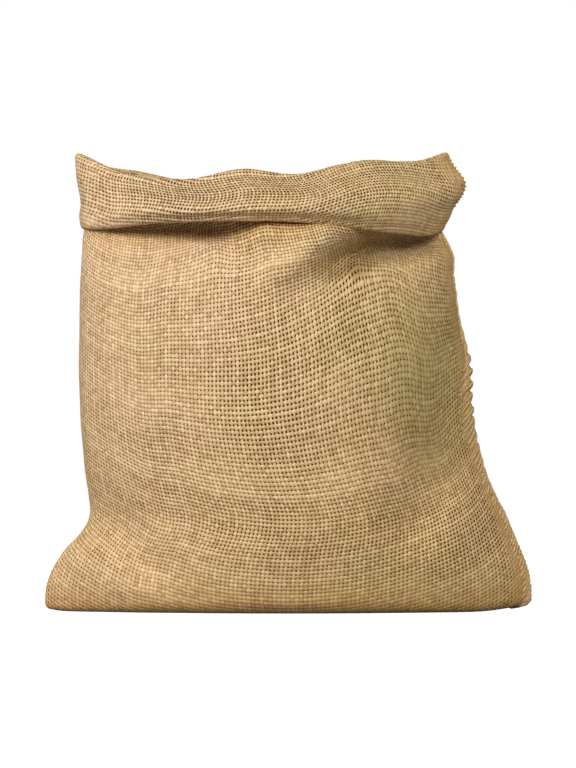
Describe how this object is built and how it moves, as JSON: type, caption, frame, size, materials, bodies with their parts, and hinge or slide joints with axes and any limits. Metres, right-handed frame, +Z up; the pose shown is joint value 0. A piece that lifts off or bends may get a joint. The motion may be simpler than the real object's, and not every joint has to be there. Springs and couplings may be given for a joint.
{
  "type": "burlap sack",
  "caption": "Small natural burlap sack standing open, with its mouth turned down outwards into a wavy cuff and its bottom corners splayed.",
  "frame": {"origin": "on the floor, under the middle of the sack's bounding box", "axes": "+Z up, +X from the folded side edge to the sewn side edge, -Y towards the front face"},
  "size_m": [0.3598, 0.162, 0.34],
  "materials": {
    "burlap": "coarse natural jute, matt"
  },
  "bodies": {
    "root": {"sack_cloth": "burlap"}
  },
  "joints": []
}
